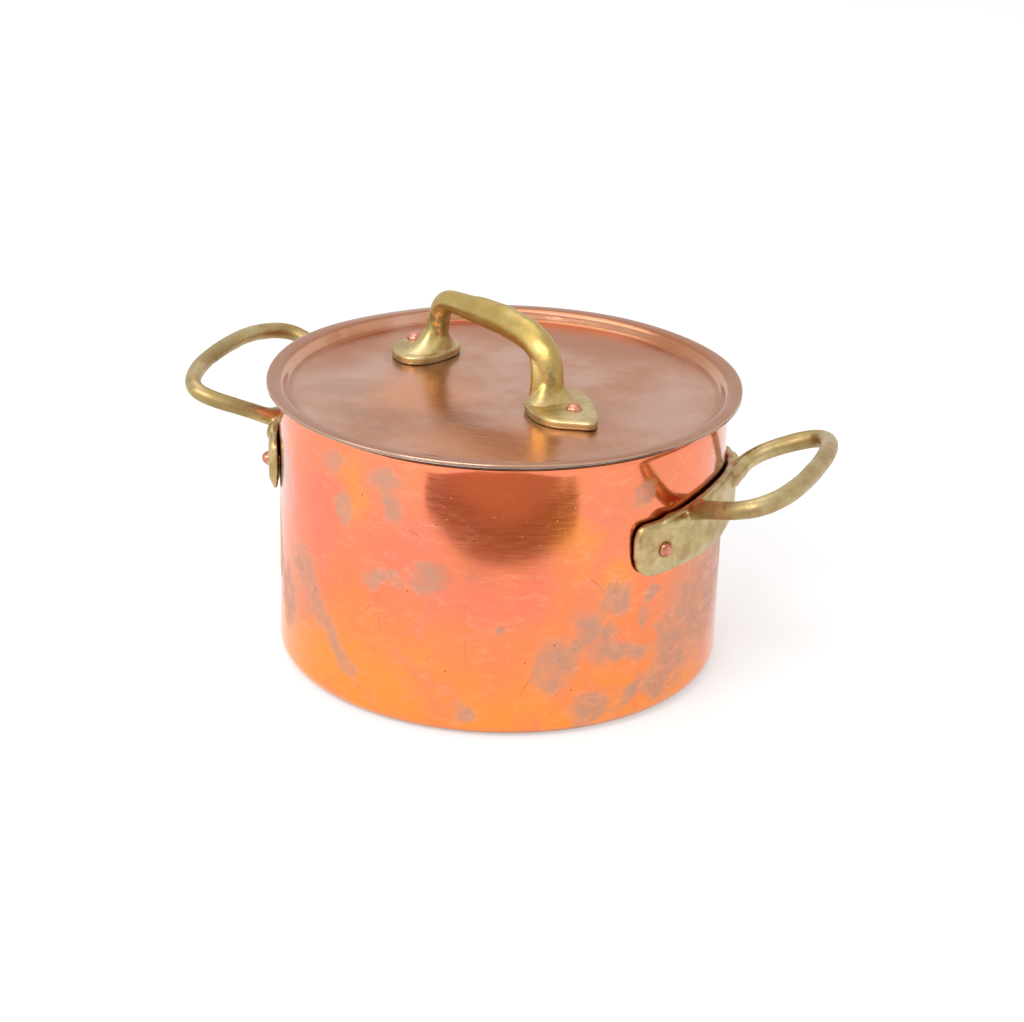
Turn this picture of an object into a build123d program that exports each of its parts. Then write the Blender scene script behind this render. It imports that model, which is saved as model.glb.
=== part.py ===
from build123d import *
import os
from math import asin, cos, degrees, radians, sin, tan

# A straight-sided copper stew pot with two cast brass loop handles, and a sunk copper lid
# that lifts off by a cast brass bow handle. Copper rivets hold all three handles, and a
# wiped tin lining covers every face that meets food.
# Origin: centre of the pot's underside. +Z up, +X through the right-hand side handle.

# ---- driving dimensions, mm ----
# pot
pot_radius = 100.0
pot_height = 124.2
pot_wall = 1.6
base_corner = 8.0
# tin lining, and the hairline kept between it and the copper under it
tin = 0.2
bond_line = 0.03

# lid: a flange that overhangs the rim, a sloping wall, and a panel sunk below the flange
lid_overhang = 5.8
lid_sheet = 1.2
lid_rise = 4.6
panel_depth = 4.8
lid_slope = 57.0
lid_bend = 1.6
lid_clearance = 0.3

# side handles: a flange plate bent round the wall, and a loop that leaves its upper edge
rivet_drop = 42.6
rivet_half_pitch = 44.8
plate_half_width = 56.5
plate_below_rivets = 12.4
plate_above_rivets = 12.9
plate_crown = 4.3
plate_thickness = 4.8
plate_gap = 0.5
plate_corner = 12.0
plate_top_corner = 3.0
plate_edge = 1.8
loop_bar = 7.8
loop_tilt = 17.2
loop_rise = 15.8
loop_root_rise = 13.5
loop_root_half_width = 28.5
loop_root_bend = 10.0
loop_tail_rise = 9.0
loop_tail_half_width = 12.0
# Corners of the loop's centre line, front to rear: distance out from the wall, distance
# along it, and bend radius. The pattern's front half reaches out a little further.
loop_corners = [
    (7.4, -36.5, 20.0), (34.1, -51.6, 15.0), (45.4, -28.8, 36.0), (46.2, 0.0, 150.0),
    (43.6, 28.4, 40.0), (33.5, 52.3, 15.0), (6.4, 36.5, 20.0),
]
# The handles were riveted on by eye: the left one is a little higher and not quite opposite.
left_turn = 177.6
left_rise = 6.0

# lid handle: a bar on two posts, each post on a leaf-shaped foot
lid_turn = -28.2
handle_along = -10.8
handle_across = 1.8
bow_bar = 12.2
# Corners of the bow's centre line: distance along the handle, and height over the panel.
bow_left = (-38.0, 28.0)
bow_middle = (8.0, 32.6)
bow_right = (39.0, 28.8)
bow_left_bend = 12.0
bow_middle_bend = 150.0
bow_right_bend = 14.0
bow_post = 40.5
foot_thickness = 3.6
foot_gap = 0.15
foot_rivet = 57.5
foot_corner = 1.8
foot_edge = 0.7
# Outline of each foot, as distances out from its rivet and across the handle: heel, near
# ear, near cheek, toe, far cheek, far ear.
right_leaf = [(-25.0, 0.0), (-16.0, -16.0), (0.5, -18.0), (16.9, -4.5), (-0.5, 11.5), (-19.0, 17.0)]
left_leaf = [(-24.0, -3.0), (-16.0, -19.5), (-1.5, -13.0), (6.0, -2.0), (-2.5, 9.5), (-15.0, 14.5)]
flare_radius = 9.6
flare_height = 9.0

# rivets
rivet_shank = 4.6
rivet_fit = 0.05
rivet_dome = 6.7
rivet_dome_height = 3.0
rivet_head = 11.0
rivet_head_height = 1.6

# ---- sizes that follow ----
lining_outer = pot_radius - pot_wall - bond_line
lid_radius = pot_radius + lid_overhang
lining_inner = lining_outer - tin
plate_inner = pot_radius + plate_gap
plate_outer = plate_inner + plate_thickness
rivet_z = pot_height - rivet_drop
rivet_angle = degrees(asin(rivet_half_pitch / plate_outer))

flange_z = pot_height + lid_rise
panel_z = flange_z - panel_depth
lid_stack = lid_sheet + bond_line + tin
slope = radians(lid_slope)
slope_run = panel_depth / tan(slope)
# The lining on the sloping wall clears the pot's inner rim edge by lid_clearance.
slope_offset = lid_stack / sin(slope)
slope_at_rim = lining_inner - lid_clearance / sin(slope)
panel_edge = slope_at_rim - slope_offset - (pot_height - panel_z) / tan(slope)
flange_edge = panel_edge + slope_run
foot_z = panel_z + foot_gap
foot_top = foot_z + foot_thickness

turn = radians(lid_turn)
handle_x = handle_along * cos(turn) - handle_across * sin(turn)
handle_y = handle_along * sin(turn) + handle_across * cos(turn)
bow_plane = Plane(origin=(handle_x, handle_y, 0), x_dir=(cos(turn), sin(turn), 0),
                  z_dir=(sin(turn), -cos(turn), 0))
lid_plane = Plane(origin=(handle_x, handle_y, 0), x_dir=(cos(turn), sin(turn), 0))

# Name, angle round the pot and height of each rivet that holds a side handle.
side_rivets = {
    "right_front_rivet": (-rivet_angle, rivet_z),
    "right_rear_rivet": (rivet_angle, rivet_z),
    "left_front_rivet": (left_turn + rivet_angle, rivet_z + left_rise),
    "left_rear_rivet": (left_turn - rivet_angle, rivet_z + left_rise),
}
# Name, and place along the lid handle, of each rivet that holds it.
lid_rivets = {"lid_rivet_right": foot_rivet, "lid_rivet_left": -foot_rivet}

on_floor = (Align.CENTER, Align.CENTER, Align.MIN)


def rivet_plane(angle, height):
    """Plane on the pot's axis at a rivet's height, its Z pointing out at the rivet's angle."""
    a = radians(angle)
    return Plane(origin=(0, 0, height), x_dir=(-sin(a), cos(a), 0), z_dir=(cos(a), sin(a), 0))


def side_holes(places):
    """Cut the radial holes of the side rivets at these angles and heights."""
    with Locations(*[rivet_plane(angle, height) for angle, height in places]):
        Cylinder(rivet_shank / 2 + rivet_fit, 2 * pot_radius, align=on_floor,
                 mode=Mode.SUBTRACT)


def lid_holes():
    """Cut the two upright holes of the lid handle's rivets."""
    with Locations(lid_plane):
        with Locations(*[(place, 0, panel_z) for place in lid_rivets.values()]):
            Cylinder(rivet_shank / 2 + rivet_fit, 10 * foot_thickness, mode=Mode.SUBTRACT)


def finish_part(part, name):
    """Name a finished piece and write it."""
    part.label = name
    export_step(part, f"parts/{name}.step")


def lid_line(depth):
    """Corners of the lid's section at a depth under its top face, from axis to rim."""
    shift = depth * tan(slope / 2)
    return [
        (0, panel_z - depth),
        (panel_edge + shift, panel_z - depth),
        (flange_edge + shift, flange_z - depth),
        (lid_radius, flange_z - depth),
    ]


def lid_layer(top, bottom):
    """Turn one layer of the lid, between two depths under its top face."""
    with BuildSketch(Plane.XZ) as section:
        with BuildLine():
            # The two bends stay concentric through the sheet and its lining.
            FilletPolyline(*lid_line(top), *reversed(lid_line(bottom)), close=True, radius=[
                0, lid_bend + top, lid_bend + lid_stack - top, 0,
                0, lid_bend + lid_stack - bottom, lid_bend + bottom, 0])
        make_face()
    revolve(section.sketch, axis=Axis.Z)


def loop_point(reach, along):
    """Point of the side loop's centre line, in its tilted plane."""
    return (pot_radius + reach, along, rivet_z + loop_rise + reach * tan(radians(loop_tilt)))


def plate_point(depth, along, rise):
    """Point inside the plate, a share of its thickness out from its inner face."""
    radius = plate_inner + depth * plate_thickness
    return ((radius ** 2 - along ** 2) ** 0.5, along, rivet_z + rise)


os.makedirs("parts", exist_ok=True)

# ---- pot body: one drawn copper shell ----
with BuildPart() as pot_body:
    Cylinder(pot_radius, pot_height, align=on_floor)
    fillet(pot_body.faces().sort_by(Axis.Z)[0].edges(), base_corner)
    offset(amount=-pot_wall, openings=pot_body.faces().sort_by(Axis.Z)[-1])
    side_holes(side_rivets.values())
finish_part(pot_body.part, "pot_body")

# ---- tin lining inside the pot ----
with BuildPart() as pot_tin_lining:
    with Locations((0, 0, pot_wall + bond_line)):
        Cylinder(lining_outer, pot_height - pot_wall - bond_line, align=on_floor)
    fillet(pot_tin_lining.faces().sort_by(Axis.Z)[0].edges(), base_corner - pot_wall - bond_line)
    offset(amount=-tin, openings=pot_tin_lining.faces().sort_by(Axis.Z)[-1])
    side_holes(side_rivets.values())
finish_part(pot_tin_lining.part, "pot_tin_lining")

# ---- side handles: plate and loop, cast in one ----
plate_bottom = rivet_z - plate_below_rivets
plate_end_top = rivet_z + plate_above_rivets
plate_mid_top = plate_end_top + plate_crown
# The loop's centre line starts and ends inside the plate, where its tails run out.
tails = [plate_point(0.3, side * loop_tail_half_width, loop_tail_rise) for side in (-1, 1)]
roots = [plate_point(0.5, side * loop_root_half_width, loop_root_rise) for side in (-1, 1)]
loop_points = [tails[0], roots[0], *[loop_point(reach, along) for reach, along, _ in loop_corners],
               roots[1], tails[1]]
loop_bends = [loop_root_bend, *[bend for _, _, bend in loop_corners], loop_root_bend]

with BuildPart() as right_handle:
    # The plate is its flat outline cut through a ring that fits round the wall.
    with BuildSketch(Plane.YZ) as plate_outline:
        with BuildLine():
            Polyline((-plate_half_width, plate_end_top), (-plate_half_width, plate_bottom),
                     (plate_half_width, plate_bottom), (plate_half_width, plate_end_top))
            ThreePointArc((plate_half_width, plate_end_top), (0, plate_mid_top),
                          (-plate_half_width, plate_end_top))
        make_face()
        fillet(plate_outline.vertices().group_by(Axis.Y)[0], plate_corner)
        fillet(plate_outline.vertices().group_by(Axis.Y)[-1], plate_top_corner)
    extrude(amount=2 * pot_radius)
    with BuildSketch(Plane.XY):
        Circle(plate_outer)
        Circle(plate_inner, mode=Mode.SUBTRACT)
    extrude(amount=pot_height, mode=Mode.INTERSECT)
    outer_face = right_handle.faces().filter_by(GeomType.CYLINDER).sort_by(SortBy.AREA)[-1]
    fillet(outer_face.edges(), plate_edge)
    with BuildLine() as loop_line:
        FilletPolyline(*loop_points, radius=loop_bends)
    with BuildSketch(Plane(origin=loop_line.line @ 0, z_dir=loop_line.line % 0)):
        Circle(loop_bar / 2)
    sweep(path=loop_line.line)
    # The loop's tails are ground back to the plate's inner face.
    Cylinder(plate_inner, 2 * pot_height, mode=Mode.SUBTRACT)
    side_holes([(-rivet_angle, rivet_z), (rivet_angle, rivet_z)])
finish_part(right_handle.part, "right_handle")

# Both handles come from one pattern.
with BuildPart() as left_handle:
    with Locations((0, 0, left_rise)):
        add(right_handle.part, rotation=(0, 0, left_turn))
finish_part(left_handle.part, "left_handle")

# ---- rivets of the side handles: dome outside, broad head inside ----
# The broad head's flat face rests on the lining's curve at its rim.
head_seat = (lining_inner ** 2 - (rivet_head / 2) ** 2) ** 0.5 - bond_line
dome_seat = plate_outer + bond_line
for name, (angle, height) in side_rivets.items():
    with BuildPart(rivet_plane(angle, height)) as side_rivet:
        with Locations((0, 0, head_seat - rivet_head_height)):
            Cylinder(rivet_head / 2, rivet_head_height, align=on_floor)
        fillet(side_rivet.edges().sort_by(SortBy.DISTANCE)[0], rivet_head_height * 0.6)
        with Locations((0, 0, dome_seat)):
            Cylinder(rivet_dome / 2, rivet_dome_height, align=on_floor)
        fillet(side_rivet.edges().sort_by(SortBy.DISTANCE)[-1], rivet_dome_height * 0.85)
        with Locations((0, 0, head_seat)):
            Cylinder(rivet_shank / 2, dome_seat - head_seat, align=on_floor)
    finish_part(side_rivet.part, name)

# ---- lid: copper sheet, and its tin lining ----
with BuildPart() as lid_plate:
    lid_layer(0, lid_sheet)
    lid_holes()
finish_part(lid_plate.part, "lid_plate")

with BuildPart() as lid_tin_lining:
    lid_layer(lid_sheet + bond_line, lid_stack)
    lid_holes()
finish_part(lid_tin_lining.part, "lid_tin_lining")

# ---- lid handle: two feet, two flares and a bow, cast in one ----
with BuildPart() as lid_handle:
    for side, leaf in ((1, right_leaf), (-1, left_leaf)):
        heel, near_ear, near_cheek, toe, far_cheek, far_ear = [
            (side * (foot_rivet + along), across) for along, across in leaf]
        with BuildSketch(lid_plane.offset(foot_z)) as foot:
            with BuildLine():
                ThreePointArc(near_ear, heel, far_ear)
                ThreePointArc(near_ear, near_cheek, toe)
                ThreePointArc(far_ear, far_cheek, toe)
            make_face()
            fillet(foot.vertices(), foot_corner)
        extrude(amount=foot_thickness)
    fillet(lid_handle.faces().group_by(Axis.Z)[-1].edges(), foot_edge)
    with Locations(lid_plane):
        with Locations((bow_post, 0, foot_top - foot_edge), (-bow_post, 0, foot_top - foot_edge)):
            Cone(flare_radius, bow_bar / 2, flare_height, align=on_floor)
    with BuildLine(bow_plane) as bow_line:
        FilletPolyline((-bow_post, foot_z), *[(along, panel_z + height) for along, height in
                                              (bow_left, bow_middle, bow_right)],
                       (bow_post, foot_z), radius=[bow_left_bend, bow_middle_bend, bow_right_bend])
    with BuildSketch(Plane(origin=bow_line.line @ 0, z_dir=bow_line.line % 0)):
        Circle(bow_bar / 2)
    sweep(path=bow_line.line)
    # The feet are flat underneath.
    with Locations((0, 0, foot_z)):
        Cylinder(lid_radius, foot_thickness, mode=Mode.SUBTRACT,
                 align=(Align.CENTER, Align.CENTER, Align.MAX))
    lid_holes()
finish_part(lid_handle.part, "lid_handle")

# ---- rivets of the lid handle: dome above, broad head below ----
lower_head = panel_z - lid_stack - bond_line
for name, place in lid_rivets.items():
    with BuildPart(lid_plane) as lid_rivet:
        with Locations((place, 0, lower_head)):
            Cylinder(rivet_head / 2, rivet_head_height,
                     align=(Align.CENTER, Align.CENTER, Align.MAX))
        fillet(lid_rivet.edges().sort_by(Axis.Z)[0], rivet_head_height * 0.6)
        with Locations((place, 0, foot_top + bond_line)):
            Cylinder(rivet_dome / 2, rivet_dome_height, align=on_floor)
        fillet(lid_rivet.edges().sort_by(Axis.Z)[-1], rivet_dome_height * 0.85)
        with Locations((place, 0, lower_head)):
            Cylinder(rivet_shank / 2, foot_top + bond_line - lower_head, align=on_floor)
    finish_part(lid_rivet.part, name)
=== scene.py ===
"""Old copper stew pot: straight wiped-tin pot, sunk copper lid, cast brass handles, copper rivets.

Lengths in the lists and functions below are millimetres in the frame of the CAD model:
Z up the pot's axis from its underside, X through the right-hand side handle.
"""
import math
import bmesh
import bpy
import numpy as np
from mathutils import Matrix, Vector


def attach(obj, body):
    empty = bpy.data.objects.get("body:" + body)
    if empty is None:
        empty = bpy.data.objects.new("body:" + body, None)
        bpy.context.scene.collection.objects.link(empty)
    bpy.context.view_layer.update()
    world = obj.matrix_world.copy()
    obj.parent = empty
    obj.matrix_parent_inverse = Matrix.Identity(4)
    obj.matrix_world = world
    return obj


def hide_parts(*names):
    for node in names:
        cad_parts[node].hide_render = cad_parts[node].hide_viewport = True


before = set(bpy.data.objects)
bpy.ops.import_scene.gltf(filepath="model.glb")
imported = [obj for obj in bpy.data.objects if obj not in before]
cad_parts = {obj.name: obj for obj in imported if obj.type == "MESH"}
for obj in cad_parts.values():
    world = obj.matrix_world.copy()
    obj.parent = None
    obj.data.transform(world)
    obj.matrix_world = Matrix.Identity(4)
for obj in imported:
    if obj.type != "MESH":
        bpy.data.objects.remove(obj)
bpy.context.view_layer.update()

MM = 0.001

# ---- sizes the pieces share with the CAD model, mm ----
POT_RADIUS = 100.0
POT_HEIGHT = 124.2
POT_WALL = 1.6
BASE_CORNER = 8.0
TIN = 0.2
BOND_LINE = 0.03
LID_RADIUS = 105.8
LID_SHEET = 1.2
FLANGE_Z = 128.8
PANEL_Z = 124.0
LID_SLOPE = 57.0
PANEL_EDGE = 95.98
LID_BEND = 3.4
RIVET_Z = 81.6
RIVET_ANGLE = 25.2
PLATE_INNER = 100.5
PLATE_THICKNESS = 4.8
LEFT_TURN = 177.6
LEFT_RISE = 6.0
LID_TURN = -28.2
LID_HANDLE_CENTRE = (-8.67, 6.69)
FOOT_RIVET = 57.5
RIVET_ACROSS = -0.7
HEAD_RADIUS = 3.4
# Rivets of the side handles: node, angle round the pot, height, and the radius that the dome sits at.
WALL_RIVETS = [("right_front_rivet", -RIVET_ANGLE, RIVET_Z, 104.9),
               ("right_rear_rivet", RIVET_ANGLE, RIVET_Z, 105.5),
               ("left_front_rivet", LEFT_TURN + RIVET_ANGLE, RIVET_Z + LEFT_RISE, 105.1),
               ("left_rear_rivet", LEFT_TURN - RIVET_ANGLE, RIVET_Z + LEFT_RISE, 104.9)]


# ---- arrays ----
def ripple(points, wavelength, seed, waves=20):
    """Smooth random field: the sum of plane waves of one length, each with a random direction
    and phase, scaled so that most values lie between -1 and 1."""
    rng = np.random.default_rng(seed)
    directions = rng.normal(size=(waves, 3))
    directions /= np.linalg.norm(directions, axis=1)[:, None]
    phases = rng.uniform(0, 2 * np.pi, waves)
    return np.cos(points @ directions.T * (2 * np.pi / wavelength) + phases).sum(1) * math.sqrt(1 / waves)


def smoothstep(x):
    """0 below 0, 1 above 1, and 3x^2 - 2x^3 between."""
    x = np.clip(x, 0, 1)
    return x * x * (3 - 2 * x)


def turned(points, angle, centre=(0, 0), rise=0):
    """Points turned about Z by an angle in degrees, then moved to a centre and raised."""
    a = math.radians(angle)
    x, y, z = points[..., 0], points[..., 1], points[..., 2]
    return np.stack([x * math.cos(a) - y * math.sin(a) + centre[0],
                     x * math.sin(a) + y * math.cos(a) + centre[1], z + rise], -1)


def smooth_curve(knots, samples):
    """Cubic B-spline through every knot. The control points C solve (C[i-1] + 4 C[i] + C[i+1]) / 6
    = knot[i], with the ends' second difference zero; samples are spread evenly over the knots."""
    knots = np.asarray(knots, float)
    n = len(knots)
    m = np.zeros((n + 2, n + 2))
    rows = np.arange(n)
    m[rows + 1, rows], m[rows + 1, rows + 1], m[rows + 1, rows + 2] = 1 / 6, 4 / 6, 1 / 6
    m[0, :3] = m[-1, -3:] = (1, -2, 1)
    control = np.linalg.solve(m, np.vstack([np.zeros(knots.shape[1]), knots, np.zeros(knots.shape[1])]))
    t = np.linspace(0, n - 1, samples)
    return bspline(control, t)


def bspline(control, t):
    """Points of the uniform cubic B-spline of these control points at parameters t."""
    i = np.clip(t.astype(int), 0, len(control) - 4)
    f = (t - i)[:, None]
    a, b, c, d = (control[i + k] for k in range(4))
    return ((1 - f) ** 3 * a + (3 * f ** 3 - 6 * f ** 2 + 4) * b
            + (-3 * f ** 3 + 3 * f ** 2 + 3 * f + 1) * c + f ** 3 * d) / 6


def hanging_curve(control, samples):
    """Cubic B-spline pulled by its control points, with both end control points doubled outward."""
    p = np.asarray(control, float)
    p = np.vstack([2 * p[0] - p[1], p, 2 * p[-1] - p[-2]])
    return bspline(p, np.linspace(0, len(p) - 3, samples))


def bent_line(corners, radii, steps=7):
    """Polyline in a plane with each inner corner replaced by an arc of its radius."""
    corners = [np.asarray(c, float) for c in corners]
    out = [corners[0][None]]
    for before, here, after, radius in zip(corners, corners[1:], corners[2:], radii):
        u, v = before - here, after - here
        u, v = u / np.linalg.norm(u), v / np.linalg.norm(v)
        half = math.acos(np.clip(u @ v, -1, 1)) / 2
        centre = here + (u + v) / np.linalg.norm(u + v) * radius / math.sin(half)
        a, b = here + u * radius / math.tan(half) - centre, here + v * radius / math.tan(half) - centre
        swing = math.pi - 2 * half
        t = np.linspace(0, 1, steps)[:, None]
        out.append(centre + (np.sin((1 - t) * swing) * a + np.sin(t * swing) * b) / math.sin(swing))
    out.append(corners[-1][None])
    return np.vstack(out)


def spread(line, step):
    """The same polyline with its long runs divided, so that no run is longer than step."""
    runs = np.linalg.norm(np.diff(line, axis=0), axis=1)
    counts = np.maximum(1, np.ceil(runs / step).astype(int))
    start = np.repeat(np.arange(len(runs)), counts)
    share = np.concatenate([np.arange(c) / c for c in counts])[:, None]
    return np.vstack([line[start] * (1 - share) + line[start + 1] * share, line[-1:]])


# ---- meshes ----
def make_mesh(name, points, faces):
    """Mesh object of points in mm, shaded smooth, with its faces turned outwards."""
    mesh = bpy.data.meshes.new(name)
    mesh.from_pydata((np.asarray(points) * MM).tolist(), [], faces)
    b = bmesh.new()
    b.from_mesh(mesh)
    bmesh.ops.recalc_face_normals(b, faces=b.faces)
    b.to_mesh(mesh)
    b.free()
    mesh.shade_smooth()
    o = bpy.data.objects.new(name, mesh)
    bpy.context.scene.collection.objects.link(o)
    return o


def ringed(grid):
    """Points and faces of a closed solid: rows of rings, with a pole closing each end. The first
    and last rows are single points, given as rings that have shrunk to one place."""
    rows, cols = grid.shape[:2]
    inner = grid[1:-1].reshape(-1, 3)
    first, last = len(inner), len(inner) + 1
    points = np.vstack([inner, grid[0].mean(0), grid[-1].mean(0)])
    i = np.arange((rows - 3) * cols)
    nxt = (i // cols) * cols + (i % cols + 1) % cols
    quads = np.stack([i, nxt, nxt + cols, i + cols], 1)
    j = np.arange(cols)
    k = (j + 1) % cols
    low, high = (rows - 3) * cols + j, (rows - 3) * cols + k
    faces = quads.tolist()
    faces += np.stack([k, j, np.full(cols, first)], 1).tolist()
    faces += np.stack([low, high, np.full(cols, last)], 1).tolist()
    return points, faces


def capped(grid):
    """Ringed grid of a row of rings, with each end closed at the middle of its last ring."""
    ends = [np.broadcast_to(grid[k].mean(0), grid[k].shape)[None] for k in (0, -1)]
    return np.concatenate([ends[0], grid, ends[1]])


def lathe(section, steps, shape=None):
    """Ringed grid made by turning a section, points (radius, height) from pole to pole, about Z.
    shape(radius, angle, height) gives the radius and height it really has there."""
    angle = np.linspace(0, 2 * np.pi, steps, endpoint=False)
    r, z = np.broadcast_arrays(section[:, :1], section[:, 1:])
    r, z = np.repeat(r, steps, 1), np.repeat(z, steps, 1)
    a = np.broadcast_to(angle, r.shape)
    if shape:
        r, z = shape(r, a, z)
    return np.stack([r * np.cos(a), r * np.sin(a), z], -1)


def tube(path, normal, wide, tall, facets=0.0, cols=28):
    """Ringed grid round a path that lies close to one plane. The section at each point is an
    ellipse, wide in the plane and tall along its normal, drawn in a little between its quarters
    by facets, and the ends close with low domes."""
    path = np.asarray(path, float)
    tangent = np.gradient(path, axis=0)
    tangent /= np.linalg.norm(tangent, axis=1)[:, None]
    across = np.cross(normal, tangent)
    across /= np.linalg.norm(across, axis=1)[:, None]
    up = np.cross(tangent, across)
    wide, tall = (np.broadcast_to(np.asarray(x, float), len(path)) for x in (wide, tall))
    a = np.linspace(0, 2 * np.pi, cols, endpoint=False)
    draw = 1 + facets * np.cos(4 * a)
    cap = np.sin(np.linspace(0, np.pi / 2, 6)[:-1])[:, None, None]
    body = (path[:, None] + across[:, None] * (wide[:, None] * np.cos(a) * draw)[..., None]
            + up[:, None] * (tall[:, None] * np.sin(a) * draw)[..., None])
    ends = []
    for end, sign in ((0, -1), (-1, 1)):
        bulge = sign * 0.3 * wide[end] * np.sqrt(1 - cap ** 2)
        ends.append(path[end] + (body[end] - path[end]) * cap + bulge * tangent[end])
    return np.concatenate([ends[0], body, ends[1][::-1]])


def lump(centre, radii, cols=20, rows=14):
    """Ringed grid of an ellipsoid."""
    a = np.linspace(0, 2 * np.pi, cols, endpoint=False)
    b = np.linspace(-np.pi / 2, np.pi / 2, rows)[:, None]
    unit = np.stack([np.cos(b) * np.cos(a), np.cos(b) * np.sin(a), np.sin(b) * np.ones_like(a)], -1)
    return unit * np.asarray(radii) + np.asarray(centre)


def cast(name, grids, voxel, rounds, relief):
    """One casting: the closed grids run together by a voxel remesh, its edges worn round by a few
    rounds of smoothing, and then each vertex moved along its normal by relief(points)."""
    points, faces = [], []
    for grid in grids:
        p, f = ringed(grid)
        base = sum(len(q) for q in points)
        faces += [[base + v for v in face] for face in f]
        points.append(p)
    o = make_mesh(name + "_pattern", np.vstack(points), faces)
    remesh = o.modifiers.new("run_together", "REMESH")
    remesh.mode = "VOXEL"
    remesh.voxel_size = voxel * MM
    smooth = o.modifiers.new("worn_round", "SMOOTH")
    smooth.factor = 0.5
    smooth.iterations = rounds
    deps = bpy.context.evaluated_depsgraph_get()
    mesh = bpy.data.meshes.new_from_object(o.evaluated_get(deps))
    mesh.name = name
    bpy.data.objects.remove(o)
    n = len(mesh.vertices)
    co, normals = np.empty(n * 3, np.float32), np.empty(n * 3, np.float32)
    mesh.vertices.foreach_get("co", co)
    mesh.vertex_normals.foreach_get("vector", normals)
    co = co.reshape(-1, 3).astype(float)
    co += normals.reshape(-1, 3) * (relief(co / MM) * MM)[:, None]
    mesh.vertices.foreach_set("co", co.astype(np.float32).ravel())
    mesh.update()
    mesh.shade_smooth()
    made = bpy.data.objects.new(name, mesh)
    bpy.context.scene.collection.objects.link(made)
    return made


# ---- materials ----
def srgb(code):
    """Linear colour of an sRGB hex code."""
    c = np.array([int(code[i:i + 2], 16) for i in (1, 3, 5)]) / 255
    c = np.where(c <= 0.04045, c / 12.92, ((c + 0.055) / 1.055) ** 2.4)
    return (*c, 1.0)


def add(tree, kind, inputs=None, stops=None, **settings):
    """Add a node: set its properties and its ramp's stops, then set each input to a value or link
    it to an output."""
    n = tree.nodes.new(kind)
    for key, value in settings.items():
        setattr(n, key, value)
    if stops:
        ramp = n.color_ramp.elements
        while len(ramp) < len(stops):
            ramp.new(0.5)
        for element, (place, code) in zip(ramp, stops):
            element.position, element.color = place, srgb(code)
    for key, value in (inputs or {}).items():
        if isinstance(value, bpy.types.NodeSocket):
            tree.links.new(value, n.inputs[key])
        else:
            n.inputs[key].default_value = value
    return n


def metal(name, build):
    """Material whose nodes are laid by build(tree, coordinates in metres), which returns the
    inputs of the metal's shader."""
    m = bpy.data.materials.new(name)
    m.use_nodes = True
    tree = m.node_tree
    tree.nodes.clear()
    place = add(tree, "ShaderNodeTexCoord").outputs["Object"]
    inputs = {"Metallic": 1.0, **build(tree, place)}
    shader = add(tree, "ShaderNodeBsdfPrincipled", inputs)
    add(tree, "ShaderNodeOutputMaterial", {"Surface": shader.outputs[0]})
    return m


def per_size(mm):
    """Pattern scale whose features are about this many millimetres."""
    return 1000.0 / mm


# A smooth step can't leave its range, so its clamp, which costs the renderer a node more, is off.
SMOOTH = {"interpolation_type": "SMOOTHSTEP", "clamp": False}


def layer(tree, base, share, strength, code):
    """Colour base, covered by another colour where the share says, up to a strength."""
    cover = add(tree, "ShaderNodeMath", {0: share, 1: strength}, operation="MULTIPLY").outputs[0]
    return add(tree, "ShaderNodeMix", {"Factor": cover, 6: base, 7: srgb(code)}, data_type="RGBA").outputs[2]


def overlap(tree, first, *others):
    """Share of the surface where all of these hold at once: their product."""
    for other in others:
        first = add(tree, "ShaderNodeMath", {0: first, 1: other}, operation="MULTIPLY").outputs[0]
    return first


def plus(tree, start, *parts):
    """A value plus each part, which is a share and the amount that it adds where it is full."""
    for share, amount in parts:
        inputs = {0: share, 1: amount, 2: start}
        start = add(tree, "ShaderNodeMath", inputs, operation="MULTIPLY_ADD").outputs[0]
    return start


def mottled(tree, place, mm, low, high, detail=3.0, rough=0.55, distortion=0.0):
    """Share of the surface inside cloudy patches of a size in mm: a noise pattern, taken through a
    smooth step that begins at low and is full at high."""
    field = add(tree, "ShaderNodeTexNoise", {"Vector": place, "Scale": per_size(mm), "Detail": detail,
                                             "Roughness": rough, "Distortion": distortion}).outputs[0]
    return add(tree, "ShaderNodeMapRange", {0: field, 1: low, 2: high}, **SMOOTH).outputs[0]


def specks(tree, place, spacing, edge, mm, low, high, detail):
    """Share of the surface inside small round specks about a spacing in mm apart. A speck fades in
    over edge, two distances from its middle in spacings, and specks keep to mottled patches."""
    cells = add(tree, "ShaderNodeTexVoronoi", {"Vector": place, "Scale": per_size(spacing)})
    away = cells.outputs["Distance"]
    dots = add(tree, "ShaderNodeMapRange", {0: away, 1: edge[0], 2: edge[1]}, **SMOOTH).outputs[0]
    return overlap(tree, dots, mottled(tree, place, mm, low, high, detail))


def within(tree, value, begins=None, ends=None):
    """Share of the surface where a height or radius is between limits in mm: it comes in smoothly
    over the pair begins and goes out over the pair ends. Either may be left out."""
    limits = [pair for pair in (begins, ends and ends[::-1]) if pair]
    shares = [add(tree, "ShaderNodeMapRange", {0: value, 1: low * MM, 2: high * MM}, **SMOOTH).outputs[0]
              for low, high in limits]
    return overlap(tree, *shares)


def round_pot(tree, place):
    """Distance from the pot's axis and height above its underside."""
    x, y, height = add(tree, "ShaderNodeSeparateXYZ", {0: place}).outputs
    flat = add(tree, "ShaderNodeCombineXYZ", {0: x, 1: y}).outputs[0]
    return add(tree, "ShaderNodeVectorMath", {0: flat}, operation="LENGTH").outputs["Value"], height


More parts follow.
